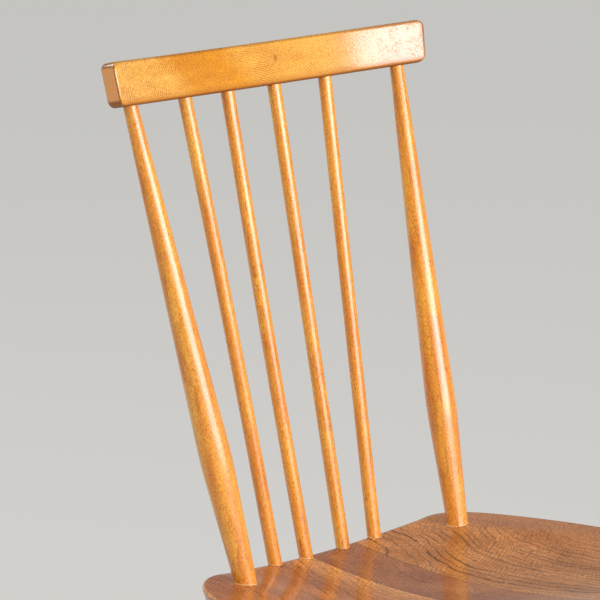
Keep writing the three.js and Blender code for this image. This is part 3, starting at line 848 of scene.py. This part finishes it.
nail_top = glide_thickness + nail_length
glide_profile = [
    (glide_edge * (1 - math.cos(a)), glide_radius - glide_edge * (1 - math.sin(a)))
    for a in np.linspace(0, math.pi / 2, glide_steps)
] + [
    (glide_thickness - glide_arris, glide_radius), (glide_thickness, glide_radius - glide_arris),
    (glide_thickness, nail_radius), (nail_top - nail_taper, nail_radius), (nail_top, nail_point),
]
for (end, side), (leg, top, foot) in legs.items():
    glide = turn_profile("glide_%s_%s_moulded" % (end, side), foot, glide_profile)
    low = foot - Vector((saw_reach, saw_reach, saw_depth))
    high = foot + Vector((saw_reach, saw_reach, 0))
    bore = turn_profile("bore", foot, [(bore_start, bore_radius), (nail_top, bore_radius)], bore_sides)
    carve(leg, [box_block("floor_cut", low, high), bore])
    mark_grain(leg, top, rod_axes(top, foot), next_cut())
    finish_piece(leg, rod_wood, "leg_%s_%s" % (end, side))
    finish_piece(glide, nylon, "glide_%s_%s" % (end, side))

# Seat boards: three boards of ash, edge-glued front to back. The blank gets its sockets and is then
# parted at its two glue lines, so that each board is a piece of its own.
left_seam, right_seam = -0.020, 0.040

# Beside the right-hand post the lines go round a knot, and are smudged in front of it. Each has its place
# in metres, and its reach across and lengthwise in millimetres.
(knot_shift, knot_scale), (smudge_shift, smudge_scale) = (
    ((-x * 1000 / width, -y * 1000 / length, 0), (1000 / width, 1000 / length, 0))
    for x, y, width, length in ((0.124, back_line - 0.068, 15, 20), (0.129, back_line - 0.097, 11, 9))
)


# Ash stained walnut brown and lacquered: open-pored growth lines hold the stain and run dark from back
# to front, closing into arches where the dish cuts through them. The lacquer film stays glossy, and a
# highlight is painted along the rim.
def stained_ash(name, light, dark, heart, ring_spacing, ring_strength, ripple_strength, edge):
    wood, tree, shader = new_finish(name)
    place = add_node(tree, "ShaderNodeTexCoord").outputs["Object"]
    board = add_node(tree, "ShaderNodeMapping", {"Vector": place, "Scale": (1000, 1000, 1000)})
    across, back_to_front, _ = add_node(tree, "ShaderNodeSeparateXYZ", {0: board}).outputs
    tone = mottle(tree, board, (28, 60, 28), 3.0, span=(0.34, 0.66))

    # Towards one edge the stain took differently
    start, full, edge_tint = edge
    near = add_node(tree, ramp, {"Value": across, "From Min": start, "From Max": full, "To Max": 0.55})

    # Ripple figure across the grain, 3.6 mm from crest to crest, strong in some places and faint in others
    turned = {"Vector": board, "Rotation": (0, 0, math.radians(-25))}
    turned = add_node(tree, "ShaderNodeMapping", turned)
    ripple = add_node(tree, "ShaderNodeSeparateXYZ", {0: turned}).outputs["Y"]
    sway = mottle(tree, board, (30, 22, 30))
    wave = add_node(tree, maths, {0: sway, 1: 13.0, 2: ripple}, operation="MULTIPLY_ADD")
    wave = add_node(tree, maths, {0: wave, 1: math.tau / 3.6}, operation="MULTIPLY")
    wave = add_node(tree, maths, {0: wave}, operation="SINE")
    show = mottle(tree, board, (24, 40, 24), span=(0.38, 0.62), shares=(0.35, 1))
    wave = add_node(tree, maths, {0: wave, 1: show}, operation="MULTIPLY")

    # Growth rings about the heart of the tree, leaning towards the middle of the seat behind the sitter,
    # jogged by the ripple, and pushed aside by a knot beside the right-hand post
    wander = mottle(tree, board, (22, 45, 22), 3.0)
    lean_from, lean_to = back_line * 1000 + 20, back_line * 1000 - 80
    lean = {"Value": back_to_front, "From Min": lean_from, "From Max": lean_to, "To Max": 24}
    lean = add_node(tree, ramp, lean, interpolation_type="SMOOTHSTEP")
    leaning = add_node(tree, "ShaderNodeCombineXYZ", {"X": lean})
    ring = add_node(tree, "ShaderNodeVectorMath", {0: board, 1: leaning}, operation="ADD")
    ring = distance_from(tree, ring, (-heart[0], 0, -heart[1]), (1, 0.02, 1))
    ring = add_node(tree, maths, {0: wander, 1: 11.0, 2: ring}, operation="MULTIPLY_ADD")
    ring = add_node(tree, maths, {0: wave, 1: 0.15, 2: ring}, operation="MULTIPLY_ADD")
    knot = add_node(tree, "ShaderNodeMapping", {"Vector": place, "Location": knot_shift, "Scale": knot_scale})
    knot = add_node(tree, "ShaderNodeVectorMath", {0: knot, 1: knot}, operation="MULTIPLY")
    knot = add_node(tree, "ShaderNodeVectorMath", {0: knot}, operation="LENGTH").outputs["Value"]
    knot = {"Value": knot, "From Min": 1.0, "From Max": 0.0}
    knot = add_node(tree, ramp, knot, interpolation_type="SMOOTHERSTEP")
    ring = add_node(tree, maths, {0: knot, 1: 20.0, 2: ring}, operation="MULTIPLY_ADD")

    # Good and bad years: the spacing and the strength of the lines vary, and they are faint at the
    # right-hand rear corner
    year = add_node(tree, maths, {0: ring, 1: ring_spacing}, operation="DIVIDE")
    climate = add_node(tree, "ShaderNodeTexNoise", {"W": year, "Scale": 0.8}, noise_dimensions="1D")
    year = add_node(tree, maths, {0: climate, 1: 0.9, 2: year}, operation="MULTIPLY_ADD")
    ring = add_node(tree, maths, {0: year}, operation="FRACT")
    early = {"Value": ring, "From Min": 0.22, "From Max": 0.0}
    early = add_node(tree, ramp, early, interpolation_type="SMOOTHSTEP")
    last = add_node(tree, ramp, {"Value": ring, "From Min": 0.93, "From Max": 1.0})
    early = add_node(tree, maths, {0: early, 1: last}, operation="MAXIMUM")
    year = add_node(tree, maths, {0: year, 1: 0.07}, operation="ADD")
    year = add_node(tree, maths, {0: year}, operation="FLOOR")
    vigour = add_node(tree, "ShaderNodeTexWhiteNoise", {"W": year}, noise_dimensions="1D")
    vigour = add_node(tree, ramp, {"Value": vigour, "To Min": 0.5, "To Max": 1.25})
    quiet = add_node(tree, maths, {0: back_to_front, 1: 0.45, 2: across}, operation="MULTIPLY_ADD")
    quiet_from, quiet_to = back_line * 450 + 138, back_line * 450 + 108
    quiet = {"Value": quiet, "From Min": quiet_from, "From Max": quiet_to, "To Min": 0.1}
    for weaker in (vigour, add_node(tree, ramp, quiet)):
        early = add_node(tree, maths, {0: early, 1: weaker}, operation="MULTIPLY")

    # Pores: dashes 0.3 mm wide, drawn 1 mm wide and 8 mm long so that they show, dense in early wood
    drift = mottle(tree, board, (10, 35, 10)).outputs["Color"]
    drift = add_node(tree, "ShaderNodeVectorMath", {0: drift, "Scale": 4.0}, operation="SCALE")
    drift = add_node(tree, "ShaderNodeVectorMath", {0: board, 1: drift}, operation="ADD")
    pore = add_node(tree, "ShaderNodeMapping", {"Vector": drift, "Scale": (1 / 1.3, 1 / 9, 1 / 1.3)})
    pore = add_node(tree, "ShaderNodeTexVoronoi", {"Vector": pore, "Scale": 1.0})
    pore = add_node(tree, ramp, {"Value": pore, "From Min": 0.5, "From Max": 0.15})
    share = add_node(tree, maths, {0: early, 1: 0.6, 2: 0.4}, operation="MULTIPLY_ADD")
    pore = add_node(tree, maths, {0: pore, 1: share}, operation="MULTIPLY")
    fade = mottle(tree, board, (26, 40, 26), span=(0.28, 0.5), shares=(0, ring_strength))
    line = add_node(tree, maths, {0: early, 1: fade}, operation="MULTIPLY")
    smudge = distance_from(tree, place, smudge_shift, smudge_scale)
    smudge = add_node(tree, ramp, {"Value": smudge, "From Min": 1.0, "From Max": 0.3, "To Max": 2.2})
    smudge = add_node(tree, maths, {0: smudge, 1: pore}, operation="MULTIPLY")
    line = add_node(tree, maths, {0: line, 1: smudge}, operation="MAXIMUM")

    # On the seat's edges the growth lines are cut almost flat, and are faint
    facing = add_node(tree, "ShaderNodeNewGeometry").outputs["Normal"]
    upward = add_node(tree, "ShaderNodeSeparateXYZ", {0: facing}).outputs["Z"]
    level = add_node(tree, maths, {0: upward}, operation="ABSOLUTE")
    level = add_node(tree, ramp, {"Value": level, "From Min": 0.15, "From Max": 0.5, "To Min": 0.3})
    line = add_node(tree, maths, {0: line, 1: level}, operation="MULTIPLY")
    stain = add_node(tree, maths, {0: pore, 1: 0.42, 2: line}, operation="MULTIPLY_ADD")
    stain = add_node(tree, maths, {0: stain, 1: 0.85}, operation="MINIMUM")

    # Painted highlight on the rim, where the surface turns from level to upright
    rim_highlight = add_node(tree, maths, {0: upward, 1: 0.58}, operation="SUBTRACT")
    rim_highlight = add_node(tree, maths, {0: rim_highlight}, operation="ABSOLUTE")
    rim_highlight = add_node(tree, ramp, {"Value": rim_highlight, "From Min": 0.38, "From Max": 0.2, "To Max": 0.75})

    # Glue line at each seam
    gaps = []
    for seam in (left_seam, right_seam):
        gap = add_node(tree, maths, {0: across, 1: seam * 1000}, operation="SUBTRACT")
        gaps.append(add_node(tree, maths, {0: gap}, operation="ABSOLUTE"))
    gap = add_node(tree, maths, {0: gaps[0], 1: gaps[1]}, operation="MINIMUM")
    glue = add_node(tree, ramp, {"Value": gap, "From Min": 1.1, "From Max": 0.3, "To Max": 0.45})
    # The pale rim colour is a painted highlight.
    colour = layered(tree, linear(light), (tone, dark), (near, edge_tint), (stain, "#48210b"),
                     (rim_highlight, "#e3a468"), (glue, "#4a240d"))

    # Specks and ripple lighten and darken the whole, and the pores stay open under the film
    speck = mottle(tree, drift, (1.3, 5.5, 1.3), 1.0)
    grey = {"Value": speck, "From Min": 0.3, "From Max": 0.7, "To Min": 0.7, "To Max": 1.32}
    grey = add_node(tree, ramp, grey)
    grey = add_node(tree, maths, {0: wave, 1: ripple_strength, 2: grey}, operation="MULTIPLY_ADD")
    film = add_node(tree, maths, {0: pore, 1: -1.0, 2: speck}, operation="MULTIPLY_ADD")
    set_inputs(shader, {
        "Base Color": add_node(tree, "ShaderNodeVectorMath", {0: colour, "Scale": grey}, operation="SCALE"),
        "Roughness": add_node(tree, ramp, {"Value": speck, "To Min": 0.4, "To Max": 0.6}),
        "Normal": add_node(tree, "ShaderNodeBump", {"Height": film, "Distance": 0.00006}),
        "Coat Normal": add_node(tree, "ShaderNodeBump", {"Height": film, "Distance": 0.00002}),
        "Specular IOR Level": 0.2, "Coat Weight": 0.8, "Coat IOR": 1.5, "Coat Roughness": 0.12,
    })
    return wood


# Hearts are places across the chair and above the floor, in millimetres
seat_woods = {
    "left": stained_ash(
        "stained_ash_left", "#c4783a", "#a35c2a", heart=(-96, 492), ring_spacing=6.5,
        ring_strength=0.5, ripple_strength=0.21, edge=(-60, -24, "#ecaa62")),
    "middle": stained_ash(
        "stained_ash_middle", "#b07246", "#965b39", heart=(190, 455), ring_spacing=3.6,
        ring_strength=0.4, ripple_strength=0.17, edge=(20, -40, "#8e4a2b")),
    "right": stained_ash(
        "stained_ash_right", "#c88649", "#ab6c34", heart=(26, 472), ring_spacing=6.6,
        ring_strength=0.95, ripple_strength=0.2, edge=(130, 220, "#b66c33")),
}
carve(blank, sockets_in_seat)
saw_width, saw_length, saw_low, saw_high = 0.3, 1, 0.3, 0.5
edges = [-saw_width, left_seam, right_seam, saw_width]
for (name, wood), start, stop in zip(seat_woods.items(), edges, edges[1:]):
    board = new_object("seat_board_%s_dished" % name, blank.data.copy())
    slab = box_block("slab", (start, -saw_length, saw_low), (stop, saw_length, saw_high))
    carve(board, [slab], "INTERSECT")
    finish_piece(board, wood, "seat_board_" + name)
bpy.data.objects.remove(blank)


# Studio: a matt pale floor, a backdrop that is pale low down and dimmer higher up, a broad low key
# light in front, a weaker one beside it towards the camera, and one high behind the chair
def seen_directly(tree):
    """1 on rays that show the studio itself, in the picture or in a reflection, and 0 on its light."""
    seen = add_node(tree, "ShaderNodeLightPath").outputs
    direct = add_node(tree, maths, {0: seen["Is Camera Ray"], 1: seen["Is Glossy Ray"]}, operation="MAXIMUM")
    return add_node(tree, maths, {0: direct, 1: seen["Is Transmission Ray"]}, operation="MAXIMUM")


floor_reach, pale_grey = 25, linear("#d4d3cf")
corners = [(x * floor_reach, y * floor_reach, 0) for x, y in ((-1, -1), (1, -1), (1, 1), (-1, 1))]
floor = new_piece("studio_floor", corners, [(0, 1, 2, 3)])
paper, tree, matt = new_finish("pale_floor")
set_inputs(matt, {"Base Color": pale_grey, "Roughness": 0.9})
glow = add_node(tree, "ShaderNodeEmission", {"Color": pale_grey, "Strength": 1.0})
half_glow = add_node(tree, maths, {0: seen_directly(tree), 1: 0.7}, operation="MULTIPLY")
lit = add_node(tree, "ShaderNodeMixShader", {0: half_glow, 1: matt, 2: glow})
set_inputs(tree.nodes["Material Output"], {"Surface": lit})
floor.data.materials.append(paper)

world = bpy.data.worlds.new("studio")
world.use_nodes = True
tree = world.node_tree
tree.nodes.clear()
direct = seen_directly(tree)
ambient = add_node(tree, "ShaderNodeBackground", {"Color": linear("#ffffff"), "Strength": 0.47})
way = add_node(tree, "ShaderNodeTexCoord").outputs["Generated"]
height = add_node(tree, "ShaderNodeSeparateXYZ", {0: way}).outputs["Z"]
height = add_node(tree, ramp, {"Value": height, "From Min": 0.02, "From Max": 0.2})
wall = layered(tree, linear("#cfcecb"), (height, "#94928f"))
backdrop = add_node(tree, "ShaderNodeBackground", {"Color": wall, "Strength": 1.0})
mixed = add_node(tree, "ShaderNodeMixShader", {0: direct, 1: ambient, 2: backdrop})
add_node(tree, "ShaderNodeOutputWorld", {0: mixed})
bpy.context.scene.world = world


def towards(azimuth, elevation):
    """The way to a light or the camera; azimuth is measured from in front, towards the chair's left."""
    a, e = math.radians(azimuth), math.radians(elevation)
    return Vector((-math.sin(a) * math.cos(e), -math.cos(a) * math.cos(e), math.sin(e)))


lights_aim = Vector((0, 0, 0.6))
for name, azimuth, elevation, distance, size, power, colour in (
    ("key", -4, 18.5, 3.2, (2.5, 0.95), 104, "#fff6fb"),
    ("fill", 25, 18.5, 3.2, (1.0, 0.95), 16, "#ffffff"),
    ("behind", 163, 40, 3.4, (1.4, 1.2), 42, "#ffffff"),
):
    way = towards(azimuth, elevation)
    data = bpy.data.lights.new(name, "AREA")
    data.shape = "RECTANGLE"
    data.size, data.size_y = size
    data.energy = power
    data.color = linear(colour)[:3]
    light = new_object(name, data)
    light.location = lights_aim + way * distance
    light.rotation_euler = way.to_track_quat("Z", "Y").to_euler()

# Camera: the photograph's, resected from the rail, the seams and the feet of the rods
azimuth, elevation, distance = 45.15, 12.10, 3.2614
posts_contact, aim_rise = 0.4302, 0.24375
aim_aside, aim_up = -0.04992, -0.0082875
back = towards(azimuth, elevation)
right = Vector((math.cos(math.radians(azimuth)), -math.sin(math.radians(azimuth)), 0))
up = back.cross(right)
aim = Vector((0, back_line, posts_contact + aim_rise)) + right * aim_aside + up * aim_up
camera = new_object("camera", bpy.data.cameras.new("camera"))
camera.data.sensor_fit = "HORIZONTAL"
camera.data.sensor_width = 36
camera.data.lens = 217.44
camera.data.clip_end = 100
camera.matrix_world = Matrix((right, up, back)).transposed().to_4x4()
camera.matrix_world.translation = aim + back * distance
bpy.context.scene.camera = camera
bpy.context.scene.view_settings.view_transform = "Standard"
